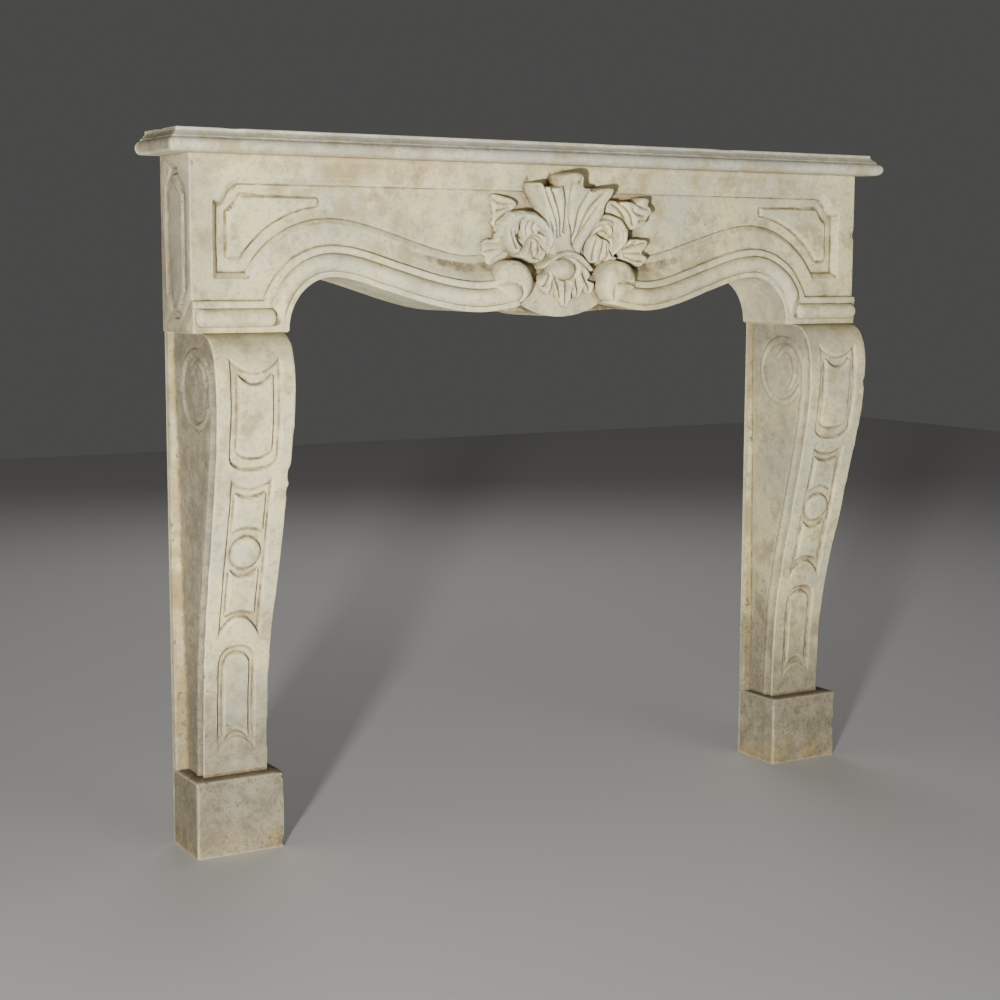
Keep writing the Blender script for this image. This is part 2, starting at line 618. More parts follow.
# %% Ball, band, hanging leaf and the two scrolls of the moulding
HANGING_LEAF = spots("""
    -30,893 -22,903 -16,914 0,918 22,914 38,904 49,894 51,884 46,881 51,878.5 58,877 59,869 55,858
    49,856 43,863 38,868 35,858 31,851 24,849.5 20,857 17.5,866 15,858 15,849 11,843 9,837 3,835.5
    -1,840 -4,846 -8,848 -12,854 -15,864 -18,857 -22,855 -30,857 -38,864 -44,872 -46,881 -40,888""")
LEAF_VEINS = veins("""
    1.9 11 -17,888 -13,878 -9,868 -6,855 -4,843
    1.9 11 4,880 5,865 5,848 6,838
    1.9 11 22,884 25,874 27,862 27,853
    1.9 11 34,893 42,880 48,868 50,860
    1.9 11 -26,893 -28,882 -33,873 -42,866
    1.9 11 -20,880 -20,868 -24,860""")
BAND = spots("""
    -40,901,4,28 -30,910,4.5,33 -16,918.5,5,36 0,923,5,37 16,921.5,5,37 30,915,5,35 42,906,4.5,32
    53,897,4,27""")
SCROLL_X, SCROLL_Z, SCROLL_RADIUS = 100, 876, 36
SCROLL_LINE = spots("140,869.5 126,873 112,876 100,875.5 91,870 87,861 89,852 96,846 110,843")


def middle_masses():
    leaf = veined(mass(HANGING_LEAF, 27, 5, (0.02, 0.05), 0.66), LEAF_VEINS)
    total = np.maximum(leaf, ridge(BAND))
    r = np.hypot(GRID_X / 21.5, (GRID_Z - 897) / 16.5)
    total = np.where((r < 1.14) & (GRID_Z < 921), np.minimum(total, 21), total)
    return np.where(r < 1, np.maximum(total, 19 + 17 * arc(r)), total)


def moulding_scroll(side):
    """The round end of the moulding: its fillet swells over the top and wraps round the torus."""
    x, z = side * GRID_X, GRID_Z
    r = np.hypot(x - SCROLL_X, z - SCROLL_Z)
    top = 43 - 11 * np.clip((r - 20) / 16, 0, 1) ** 2.2
    gap, along = nearest(x, z, spread_line(SCROLL_LINE))
    line = 7 * bell(gap / 1.8) * smooth((along - 0.02) * 9)
    knob = 3 * bell(np.hypot(x - 101, z - 860) / 10)
    return np.where(r < SCROLL_RADIUS, top + knob - line, UNDER)


def carving_heights():
    h = np.maximum.reduce([
        shell_mass(), scroll_mass(LEFT_RIM, LEFT_BED, LEFT_LEAVES, LEFT_VEINS),
        scroll_mass(RIGHT_RIM, RIGHT_BED, RIGHT_LEAVES, RIGHT_VEINS), middle_masses(),
        moulding_scroll(1), moulding_scroll(-1)] + [side_leaf(*leaf) for leaf in SIDE_LEAVES])
    for axis in (0, 1):
        h = 0.5 * h + 0.25 * (np.roll(h, 1, axis) + np.roll(h, -1, axis))
    return h


print("ball and band stand", round(float(middle_masses().max()), 1), "mm proud")

# %% [markdown]
# The heights become a closed block whose back is buried in the frieze, and a Boolean joins the two
# into one skin. The ground left of each mass is first drawn in under it, because a carver undercuts
# the edges that face the viewer. The ends of the frieze lose an eight-sided channel in the same
# way.

# %% Skin of the carving, joined to the frieze
UNDERCUT, UNDERCUT_REACH = 12, 14
BURIED = 80
END_OUTER = spots("18,857 46,822 69,822 97,860 97,1008 68,1046 42,1046 18,1018")
END_INNER = spots("34,862 50,834 66,834 86,864 86,1004 66,1034 46,1034 34,1014")
END_SUNK, END_CLEAR = 4.5, 0.5


def block(name, front, back):
    """A closed block between two matching grids of points, shaped (columns, rows, 3)."""
    columns, rows = front.shape[:2]
    grid = np.arange(columns * rows).reshape(columns, rows)
    corners = back[[0, -1, -1, 0], [0, 0, -1, -1]]
    quads = np.stack([grid[:-1, :-1], grid[1:, :-1], grid[1:, 1:], grid[:-1, 1:]], -1).reshape(-1, 4)
    corner = [columns * rows + k for k in range(4)]
    rim = [grid[:, 0], grid[-1, :], grid[::-1, -1], grid[0, ::-1]]
    walls = [side[::-1].tolist() + [corner[k], corner[(k + 1) % 4]] for k, side in enumerate(rim)]
    mesh = bpy.data.meshes.new(name)
    mesh.from_pydata(np.concatenate([front.reshape(-1, 3), corners]).tolist(), [],
                     quads.tolist() + walls + [corner[::-1]])
    neaten(mesh)
    return link(name, mesh)


def undercut(h):
    """How far the ground left of each mass is pulled in under it, so its left edge overhangs."""
    pull = np.zeros(h.shape)
    run, width, gap = (np.full(h.shape[1], start) for start in (0, 0, 1e3))
    for i in range(h.shape[0] - 1, -1, -1):
        solid = h[i] > 0
        run = np.where(solid, run + GRID_STEP, 0)
        width = np.where(solid, run, width)
        gap = np.where(solid, 0, gap + GRID_STEP)
        pull[i] = ~solid * np.minimum(UNDERCUT, 0.4 * width) * np.exp(-gap / UNDERCUT_REACH)
    pull *= 1 - smooth((GRID_Z - 1018) / 12)
    for _ in range(3):
        pull = np.minimum.reduce([pull, np.roll(pull, 1, 1), np.roll(pull, -1, 1)])
    for _ in range(20):
        pull = 0.5 * pull + 0.25 * (np.roll(pull, 1, 1) + np.roll(pull, -1, 1))
    return np.where(h > 0, 0, pull)


def carving_block():
    h = carving_heights()
    h[[0, -1], :] = UNDER
    h[:, [0, -1]] = UNDER
    front = place(GRID_X + undercut(h), FRIEZE_DEPTH + h, GRID_Z)
    return block("carving", front, place(GRID_X, BURIED, GRID_Z))


def end_block(side):
    """What is cut from one end of the frieze: an eight-sided channel round a flush panel."""
    depth, z = np.meshgrid(np.arange(12, 103, 1.1), np.arange(816, 1052, 1.4), indexing="ij")
    outer, inner = inside_outline(depth, z, END_OUTER), inside_outline(depth, z, END_INNER)
    sunk = smooth(outer / 3 + 0.2) * (1 - smooth(inner / 4.5 + 0.5))
    x = FRIEZE_HALF + END_CLEAR - (END_SUNK + END_CLEAR) * sunk
    outside = place(side * (FRIEZE_HALF + 12), depth, z)
    return block("end channel", place(side * x, depth, z), outside)


def combine(target, other, operation):
    joint = target.modifiers.new("join", "BOOLEAN")
    joint.operation, joint.solver, joint.object = operation, "MANIFOLD", other
    bake(target)
    bpy.data.meshes.remove(other.data)


def triangles(target):
    return sum(len(p.vertices) - 2 for p in target.data.polygons)


combine(frieze, carving_block(), "UNION")
combine(frieze, end_block(1), "DIFFERENCE")
combine(frieze, end_block(-1), "DIFFERENCE")
print("frieze with its carving", triangles(frieze), "triangles")

# %% [markdown]
# Each jamb is one stone: a square plinth and a leg that swells forward into a rounded shoulder. A
# ring of points goes round the section at every height. The flanks and the front are dense, so the
# bead that curls into a volute and the channels round the raised panels can be worked straight into
# the skin.

# %% Sizes of the jamb
PLINTH_INNER, PLINTH_OUTER, PLINTH_DEPTH, PLINTH_TOP = 483.7, 627.7, 102, 120
PLINTH_MIDDLE, PLINTH_HALF = (PLINTH_INNER + PLINTH_OUTER) / 2, (PLINTH_OUTER - PLINTH_INNER) / 2
LEG_CENTRE, STRIP, ARRIS = 553, 12, 2.4
LEG_FRONT = spots("120,75 205,77.5 290,85 375,102.5 460,125 546,147 631,167 690,175.3 715,176")
LEG_BELLY, LEG_BELLY_DEPTH, LEG_TOP_DEPTH, SHOULDER_POWER = 715, 176, 120, 2.6
LEG_WIDTH = spots("120,107 250,107 418,113.5 560,118 600,120 700,125 802,129")
VOLUTE = {"depth": 97, "z": 716, "outer": 58, "foot": 52, "inner": 28}
FIELDS = (((40, 622, 600, 767, 746), ((27.5, 635, 621, 742, 727),)),
          ((33, 340, 370, 587, 574),
           ((24, 507, 514, 564, 558), (23, 375, 381, 445, 434))),
          ((30, 156, 177, 300, 325.5), ((20.5, 176, 190, 290, 312),)))
CHANNEL, BOSS_Z, BOSS_RADIUS = 7.4, 473, 22.5


def through(knots, x):
    """A smooth curve through the knots, with slopes taken from their neighbours."""
    kx, ky = np.array(knots).T
    slope = np.gradient(ky, kx)
    slope[0] = (ky[1] - ky[0]) / (kx[1] - kx[0])
    i = np.clip(np.searchsorted(kx, x, side="right") - 1, 0, len(kx) - 2)
    x = np.clip(x, kx[0], kx[-1])
    return hermite(kx[i], ky[i], slope[i], kx[i + 1], ky[i + 1], slope[i + 1], x)


def leg_front(z):
    """Depth of the leg's front: a long swelling, then the rounded shoulder."""
    t = np.clip((z - LEG_BELLY) / (FRIEZE_BOTTOM - LEG_BELLY), 0, 1)
    drop = 1 - (1 - t ** SHOULDER_POWER) ** (1 / SHOULDER_POWER)
    return np.where(z < LEG_BELLY, through(LEG_FRONT, z), mix(LEG_BELLY_DEPTH, LEG_TOP_DEPTH, drop))


print("leg at the foot, belly and top:", np.round(leg_front(np.array([130, 715, 800])), 1), "mm deep")

# %% [markdown]
# A bead follows the front edge of each flank and curls into a volute at the top, with a crescent
# for its eye. The front has sunk channels round raised fields with hollowed or rounded ends, and a
# round boss. All of it is written as heights over the flat stone, because then any skin can read
# it.

# %% Carving of the jamb
BEAD_INSET = 21


def bead_path():
    z = np.arange(100, 712, 12)
    front = leg_front(np.maximum(z, PLINTH_TOP))
    slope = np.gradient(front, z)
    size = np.hypot(1, slope)
    path = zip(front - BEAD_INSET / size, z + BEAD_INSET * slope / size)
    turns = np.linspace(0, 0.92, 56)
    angle = turns * 2 * math.pi
    radius = mix(VOLUTE["outer"], VOLUTE["foot"], smooth((turns - 0.3) / 0.6))
    volute = zip(VOLUTE["depth"] + radius * np.cos(angle), VOLUTE["z"] + radius * np.sin(angle))
    return [p for p in path if p[1] < 706] + list(volute)


def eye_path():
    """The crescent inside the volute."""
    angle = np.radians(np.linspace(150, -75, 40))
    return list(zip(VOLUTE["depth"] + 9 + (VOLUTE["inner"] - 4) * np.cos(angle),
                    VOLUTE["z"] + 6 + (VOLUTE["inner"] + 8) * np.sin(angle)))


def side_relief(depth, z):
    """How far the flank stands out: a cove and a bead along the front, and the volute."""
    gap, along = nearest(depth, z, bead_path())
    thick = mix(5.6, 4.6, smooth((along - 0.55) / 0.4))
    bead = 2.9 * arc(gap / thick)
    grid = np.arange(100, 800, 10)
    front_gap, _ = nearest(depth, z, list(zip(leg_front(np.maximum(grid, PLINTH_TOP)), grid)))
    low = 1 - smooth((z - 735) / 50)
    cove = -4.4 * np.sin(math.pi * np.clip((front_gap - 1.2) / 14.6, 0, 1)) ** 0.7 * low
    groove = -1.3 * bell((gap - thick - 1.6) / 1.7)
    eye, eye_along = nearest(depth, z, eye_path())
    width = 1.2 + 5.4 * np.sin(math.pi * np.clip(eye_along, 0, 1)) ** 0.8
    crescent = 2.3 * arc(eye / width) - 1.1 * bell((eye - width - 1.2) / 1.6)
    notch = -3 * bell(np.hypot(depth - 148, (z - 681) * 0.7) / 4)
    return np.where(gap < thick, bead, np.minimum(cove, 0) + groove + crescent) + notch


def field_inside(x, z, field):
    """Distance inside a field whose ends are shallow arcs; negative outside."""
    half, low, low_middle, high, high_middle = field
    u = np.clip(np.abs(x) / half, 0, 1)
    hollow, full = 1 - u * u, np.sqrt(1 - u ** 2.4)
    foot = mix(low, low_middle, full if low_middle < low else hollow)
    head = mix(high, high_middle, full if high_middle > high else hollow)
    return np.minimum.reduce([half - np.abs(x), z - foot, head - z])


def front_relief(x, z):
    """How far the front stands out of its plane: sunk channels round the fields, and the boss."""
    total = np.zeros_like(x)
    for outer, panels in FIELDS:
        inside = smooth(field_inside(x, z, outer) / 3.4 + 0.4)
        for panel in panels:
            inside = inside * (1 - smooth(field_inside(x, z, panel) / 3.4 + 0.5))
        total = total - CHANNEL * inside
    total = total * mix(0.25, 1, smooth((z - 168) / 40))
    r = np.hypot(x, z - BOSS_Z)
    dome = 4.5 * arc(r / BOSS_RADIUS) - CHANNEL * 0.1
    rim = smooth((r - BOSS_RADIUS + 0.5) / 2.5)
    return np.where(r < BOSS_RADIUS + 2.5, mix(dome, total, rim), total)


print("path of the bead:", len(bead_path()), "points")

# %% [markdown]
# One ring goes round the leg at every height: the strip at the back, one flank, the front and the
# other flank. The rings of the plinth carry the same number of points out to a square, so leg and
# plinth are one skin, as they are one stone.

# %% Skin of a jamb
SIDE_STEPS, FRONT_STEPS = 64, 84
STRIP_STEPS, STEP_STEPS = np.array([0, 0.08, 0.5, 0.92, 1]), np.array([0.04, 0.3, 0.7])
STRIP_ROUND = np.array([0, 0, 0, 0, 0.9])
PLINTH_ROUND = 3
leg_heights = np.concatenate([
    [PLINTH_TOP - 0.2], np.arange(PLINTH_TOP + 0.8, 700, 2.3), np.arange(700, 796, 1.9),
    [796.6, 798.2, 799.5, 800.6, 801.3, 801.85]])
plinth_heights = np.concatenate([
    [0, 0.6, 1.6, 3], np.arange(6, 115, 3), [116.5, 118.2, 119.2, 119.8]])


def plinth_rings(leg_d, side):
    """Rings of the plinth, each point of the leg's foot carried out to the plinth's outline."""
    count = len(leg_d)
    on_front = leg_d > leg_d.max() - 12
    first, last = np.argmax(on_front), count - 1 - np.argmax(on_front[::-1])
    x, d, run = np.zeros(count), np.zeros(count), np.arange(count)
    before, after, deep = run < first, run > last, PLINTH_DEPTH - PLINTH_ROUND
    x[before], d[before] = -PLINTH_HALF, np.linspace(0, deep, before.sum())
    x[after], d[after] = PLINTH_HALF, np.linspace(deep, 0, after.sum())
    front = ~(before | after)
    x[front] = np.linspace(-PLINTH_HALF + 0.8, PLINTH_HALF - 0.8, front.sum())
    corner = np.clip((PLINTH_HALF - np.abs(x[front])) / PLINTH_ROUND, 0, 1)
    d[front] = PLINTH_DEPTH - PLINTH_ROUND * (1 - arc(1 - corner))
    rings = []
    for z in plinth_heights:
        pull = 2.6 * (1 - arc(1 - min(1, (PLINTH_TOP - z) / 2.8))) + max(0, 1 - z / 1.6)
        depth = np.where(d > 6, d - pull * d / PLINTH_DEPTH, d)
        rings.append(place(side * (PLINTH_MIDDLE + x * (1 - pull / PLINTH_HALF)), depth, z))
    return np.array(rings)


def jamb_skin(name, side, seed):
    z = leg_heights[:, None]
    half, front = through(LEG_WIDTH, z) / 2, leg_front(z)
    flank_depth = mix(STRIP + 1, front - ARRIS, np.linspace(0, 1, SIDE_STEPS))
    shade = smooth((flank_depth - STRIP - 1) / 4) * smooth((front - 2 - flank_depth) / 2)
    flank_out = side_relief(flank_depth, z + 0 * flank_depth) * shade
    face_x = np.linspace(-1, 1, FRONT_STEPS) * (half - 0.6)
    edge = np.clip((half - np.abs(face_x)) / ARRIS, 0, 1)
    face_depth = front + front_relief(face_x, z + 0 * face_x) - ARRIS * (1 - arc(1 - edge))

    def flank(sign, strip):
        """Points from the back plane, round the strip and along the flank to the front."""
        parts = ((strip - sign * STRIP_ROUND, STRIP * STRIP_STEPS),
                 (mix(strip, sign * half, STEP_STEPS), STRIP + STEP_STEPS),
                 (sign * (half + flank_out), flank_depth))
        return np.concatenate([np.broadcast_arrays(a, b, z)[:2] for a, b in parts], 2)

    inner, outer = flank(-1, PLINTH_INNER - LEG_CENTRE), flank(1, PLINTH_OUTER - LEG_CENTRE)
    xs, ds = np.concatenate([inner, [face_x, face_depth], outer[:, :, ::-1]], 2)
    rings = np.concatenate([plinth_rings(ds[0], side), place(side * (xs + LEG_CENTRE), ds, z)], 0)
    lumps = (0.32 * noise(rings, 30, seed) + 0.15 * noise(rings, 8, seed + 1)) * MM
    along = np.abs(rings[..., 0]) * 1000
    rings[..., 1] -= lumps * smooth((rings[..., 1] * -1000 + BACK - 4) / 10)
    on_stone = np.abs(along - PLINTH_MIDDLE) < 70
    rings[..., 0] += side * lumps * 0.5 * np.clip(np.abs(along - LEG_CENTRE) / 40, 0, 1) * on_stone
    return skin(name, rings)


jamb_right = jamb_skin("jamb_right_stone", 1, 21)
jamb_left = jamb_skin("jamb_left_stone", -1, 31)

# %% [markdown]
# The shelf is a slab with a round nose under a small cove, carried round the two ends and mitred at
# the front corners. Its section is one list of heights and overhangs, and the plan is the same
# rectangle at every height, so one set of rings makes it.

# %% Section of the shelf
SHELF_BOTTOM, SHELF_HALF, SHELF_DEPTH = 1064, 653, 131
NOSE_SIDE, NOSE_FRONT, NOSE_RADIUS = 16, 17, 10.3
COVE_FOOT, COVE_RISE, COVE_OUT = 1086.8, 8.4, 0.49
QUIRK = [(1085.6, 0.50), (1086.2, 0.45), (1086.8, 0.49)]
FASCIA = [(1096.2, 0), (1098, 0), (1099, -0.01), (1099.6, -0.04), (1100, -0.10)]


def shelf_section():
    """Heights and overhangs of the shelf's section, from the underside up."""
    centre = SHELF_BOTTOM + NOSE_RADIUS + 0.2
    turn = np.linspace(-math.pi / 2, math.pi / 2, 22)[:-2]
    nose = [(centre + NOSE_RADIUS * math.sin(a), 1 - (1 - math.cos(a)) * NOSE_RADIUS / NOSE_SIDE)
            for a in turn]
    cove = [(COVE_FOOT + COVE_RISE * math.sin(a), COVE_OUT * (1 - math.sin(a)) ** 1.25)
            for a in np.linspace(0.12, math.pi / 2, 11)]
    return nose + QUIRK + cove + FASCIA


section_mesh = bpy.data.meshes.new("shelf section")
section_mesh.from_pydata([(over, 0, z * MM) for z, over in shelf_section()], [], [])
section = link("shelf_section", section_mesh)
print("section of the shelf:", len(section_mesh.vertices), "points")

# %% [markdown]
# Node trees are easier to read as arithmetic, so one small class wraps a socket. Adding or
# multiplying adds a Math node, and every other kind of node goes through one method, put.

# %% Arithmetic with sockets
def both_ways(kind):
    """An operator that adds a Math node, as written and reflected."""
    return (lambda a, b: a.maths(kind, a, b)), (lambda a, b: a.maths(kind, b, a))


class Socket:
    """One socket of a node tree, with arithmetic that adds Math nodes."""
    __add__, __radd__ = both_ways("ADD")
    __sub__, __rsub__ = both_ways("SUBTRACT")
    __mul__, __rmul__ = both_ways("MULTIPLY")
    __truediv__, __rtruediv__ = both_ways("DIVIDE")

    def __init__(self, tree, socket):
        self.tree, self.socket = tree, socket

    def put(self, kind, settings=None, links=None, out=0):
        """A node of any kind: its settings first, then its values and links."""
        made = self.tree.nodes.new(kind)
        for key, value in (settings or {}).items():
            setattr(made, key, value)
        for key, value in (links or {}).items():
            if isinstance(value, Socket):
                self.tree.links.new(value.socket, made.inputs[key])
            else:
                made.inputs[key].default_value = value
        return Socket(self.tree, made.outputs[out])

    def maths(self, operation, *values):
        return self.put("ShaderNodeMath", {"operation": operation}, dict(enumerate(values)))

    def held(self, low, high):
        return self.maths("MINIMUM", self.maths("MAXIMUM", self, low), high)

    def noise(self, scale, detail, rough):
        return self.put("ShaderNodeTexNoise", {}, {"Vector": self, "Scale": scale, "Detail": detail,
                                                   "Roughness": rough})

    def ramp(self, low, high):
        return self.put("ShaderNodeMapRange", {"interpolation_type": "SMOOTHSTEP"},
                        {"Value": self, "From Min": low, "From Max": high})

    def blend(self, first, second):
        return self.put("ShaderNodeMix", {"data_type": "RGBA"},
                        {"Factor": self, "A": first, "B": second}, 2)


print("a wrapped socket adds, subtracts, multiplies and divides, either way round")

# %% [markdown]
# A rule like the shelf's suits Geometry Nodes: a cylinder has rings of points with a closed top and
# bottom, and only its points have to move. The number of a point gives its ring, and so its height
# and overhang, and its place round the ring, and so its spot on the two ends and the front. The
# long side between the last point and the first is the flat back against the wall.

# %% Nodes of the shelf
SHELF_INPUTS = {"Section": "Object", "Rings": "Int", "End steps": "Int", "Front steps": "Int",
                "Half length": "Float", "Depth": "Float", "End overhang": "Float",
                "Front overhang": "Float", "Back": "Float", "Wear": "Float", "Material": "Material"}


def shelf_tree():
    tree = bpy.data.node_groups.new("shelf", "GeometryNodeTree")
    for name, kind in SHELF_INPUTS.items():
        tree.interface.new_socket(name, in_out="INPUT", socket_type="NodeSocket" + kind)
    tree.interface.new_socket("Geometry", in_out="OUTPUT", socket_type="NodeSocketGeometry")
    entry = tree.nodes.new("NodeGroupInput")
    given = {name: Socket(tree, entry.outputs[name]) for name in SHELF_INPUTS}
    ends, front, back = given["End steps"], given["Front steps"], given["Back"]
    last = ends * 2 + front
    around = last + 1
    body = given["Rings"].put("GeometryNodeMeshCylinder", {"fill_type": "NGON"},
                              {"Vertices": around, "Side Segments": given["Rings"] - 1})
    index = body.put("GeometryNodeInputIndex")
    ring = index.maths("FLOOR", index / around)
    spot = index - ring * around
    info = body.put("GeometryNodeObjectInfo", {}, {"Object": given["Section"]}, "Geometry")
    position = body.put("GeometryNodeInputPosition")
    point = body.put("GeometryNodeSampleIndex", {"data_type": "FLOAT_VECTOR"},
                     {"Geometry": info, "Value": position, "Index": ring})
    over, height = (point.put("ShaderNodeSeparateXYZ", {}, {"Vector": point}, axis) for axis in "XZ")
    along = ((spot - ends) / front).held(0, 1) * 2 - 1
    out = (spot.maths("MINIMUM", spot, last - spot) / ends).held(0, 1)
    x = along * (given["Half length"] + over * given["End overhang"])
    depth = out * (given["Depth"] + over * given["Front overhang"])
    base = body.put("ShaderNodeCombineXYZ", {}, {"X": x, "Y": back - depth, "Z": height})
    worn = depth - out * base.noise(22, 3, 0.55) * given["Wear"]
    moved = body.put("ShaderNodeCombineXYZ", {}, {"X": x, "Y": back - worn, "Z": height})
    shaped = body.put("GeometryNodeSetPosition", {}, {"Geometry": body, "Position": moved})
    real = shaped.put("GeometryNodeRealizeInstances", {}, {"Geometry": shaped})
    coated = real.put("GeometryNodeSetMaterial", {},
                      {"Geometry": real, "Material": given["Material"]})
    tree.links.new(coated.socket, tree.nodes.new("NodeGroupOutput").inputs[0])
    return tree


def give(modifier, name, value):
    """Sets one named input of a geometry tree's modifier."""
    socket = next(i for i in modifier.node_group.interface.items_tree
                  if i.item_type == "SOCKET" and i.in_out == "INPUT" and i.name == name)
    modifier[socket.identifier] = value


print("inputs of the shelf's tree:", ", ".join(SHELF_INPUTS))

# %% [markdown]
# The tree is now given the shelf's sizes. Its result is taken as plain mesh, and the end faces are
# cut into triangles. Wear takes up to about a millimetre off the edges, so they don't run dead
# straight.

# %% Skin of the shelf
def shelf_skin(material):
    made = link("shelf_stone", bpy.data.meshes.new("shelf_stone"))
    rule = made.modifiers.new("shelf", "NODES")
    rule.node_group = shelf_tree()
    sizes = {"Half length": SHELF_HALF, "Depth": SHELF_DEPTH, "End overhang": NOSE_SIDE,
             "Front overhang": NOSE_FRONT, "Back": BACK, "Wear": 1.6}
    for name, value in sizes.items():
        give(rule, name, value * MM)
    for name, value in {"Section": section, "Rings": len(section_mesh.vertices), "End steps": 42,
                        "Front steps": 330, "Material": material}.items():
        give(rule, name, value)
    bake(made)
    neaten(made.data)
    bpy.data.objects.remove(section)
    return made


shelf = shelf_skin(bpy.data.materials.new("shelf blank"))

# %% [markdown]
# The stones are chipped here and rubbed there. Each knock pulls the skin in around one spot, given
# by its x, depth and height, its radius and its pull. The general wear moves points of the arrises
# toward their neighbours, in patches, so no edge runs dead straight.

# %% Knocks and worn arrises
KNOCKS = {
    "frieze_stone": spots("""-630,6,808,13,3,0,1 -630,118,1050,9,1.2,-1.2,0
        -629,116,846,8,1.4,-1.2,0 628,118,960,9,-1.5,-1.5,0"""),
    "jamb_left_stone": spots("""-484,101,117,9,-1.6,-1,-1.4 -484,101,10,9,-1.8,-1.3,0
        -494,158,592,13,-2.6,-1.6,0 -496,150,566,9,-1.8,-1.2,0 -627,60,116,9,1,0,-0.8
        -610,84,285,9,1.5,-1.4,0"""),
    "jamb_right_stone": spots("""627,101,60,12,-2.4,-2,0 484,101,114,9,1.4,-1,0
        494,120,455,10,1.8,-1.4,0 612,170,700,11,-2,-1.6,0"""),
    "shelf_stone": spots("""-566,131,1100,16,0,-1,-0.7 96,131,1100,18,0,-1,-0.6
        330,131,1100,22,0,-1.2,-0.8 -655,60,1099,16,1.2,0,-0.7 250,147,1072,16,0,-1.2,0.3
        -250,148,1078,15,0,-1,-0.4""")}
WEAR_LIMIT, BOX_MARGIN = 0.45, 0.02


def mesh_arrays(mesh):
    """The mesh's points, normals and edges."""
    arrays = []
    for source, key, width, kind in (
            (mesh.vertices, "co", 3, float), (mesh.vertices, "normal", 3, float),
            (mesh.edges, "vertices", 2, int)):
        values = np.empty(len(source) * width, kind)
        source.foreach_get(key, values)
        arrays.append(values.reshape(-1, width))
    return arrays


def smoothed(points, edges, rounds):
    """The points after moving towards their neighbours, over and over."""
    count = len(points)
    ends = np.concatenate([edges, edges[:, ::-1]])
    degree = np.maximum(np.bincount(ends[:, 0], minlength=count), 1)
    for _ in range(rounds):
        total = np.stack([np.bincount(ends[:, 0], points[ends[:, 1], k], count) for k in range(3)], 1)
        points = 0.4 * points + 0.6 * total / degree[:, None]
    return points


def knock(target):
    """Wears the arrises, pulls in the knocked spots and holds every point inside the solids' box."""
    mesh = target.data
    points, normals, edges = mesh_arrays(mesh)
    toward = smoothed(points, edges, 4) - points
    proud = -(toward * normals).sum(1) * 1000
    worn = smooth((noise(points, 21, 51) + 0.15) / 0.5) * smooth((proud - 0.10) / 0.25)
    z = points[:, 2] * 1000
    flat = (points[:, 1] > (BACK - 1) * MM) | (z < 2)
    bedded = np.minimum.reduce([abs(z - FRIEZE_BOTTOM), abs(z - FRIEZE_TOP), abs(z - 119.5)]) < 2.2
    cut_end = (abs(points[:, 0]) > 0.600) & (z > FRIEZE_BOTTOM)
    length = np.linalg.norm(toward, axis=1) * 1000
    worn = worn * ~flat * ~bedded * ~cut_end * np.minimum(1, WEAR_LIMIT / np.maximum(length, 0.01))
    points += toward * (1.5 * worn)[:, None]
    for x, depth, z, radius, *pull in KNOCKS[target.name]:
        reach = np.linalg.norm(points - place(x, depth, z), axis=1) * 1000 / radius
        reach = reach + 0.10 * noise(points, 6, 52)
        amount = (smooth(1.25 - reach) * ~flat)[:, None]
        points += amount * (np.array(pull) * (1, -1, 1)) * MM
    margin = BOX_MARGIN * MM
    low, high = np.array(cad_box[0]) + (margin, margin, 0), np.array(cad_box[1]) - (margin, 0, 0)
    mesh.vertices.foreach_set("co", np.clip(points, low, high).ravel())
    mesh.update()
    print(target.name, "knocks:", len(KNOCKS[target.name]), "worn points:", int((worn > 0.5).sum()))


for stone in (frieze, jamb_left, jamb_right, shelf):
    knock(stone)

# %% [markdown]
# Old limestone keeps its dirt and ochre in the hollows, and its arrises are rubbed pale. How hollow
# a spot is comes from smoothing the skin many times: where the smoothed skin ends up in front of
# the real one the spot is a hollow. Every vertex stores that number for the material, beside a
# wider hollow, the grime (patina) and the ochre. The feet, the flanks and the joints get the most.

# %% Hollows and arrises
FINE_HOLLOW, WIDE_HOLLOW = 0.42, 5


def store(mesh, name, values):
    layer = mesh.attributes.new(name, "FLOAT", "POINT")
    layer.data.foreach_set("value", values.astype(np.float32))


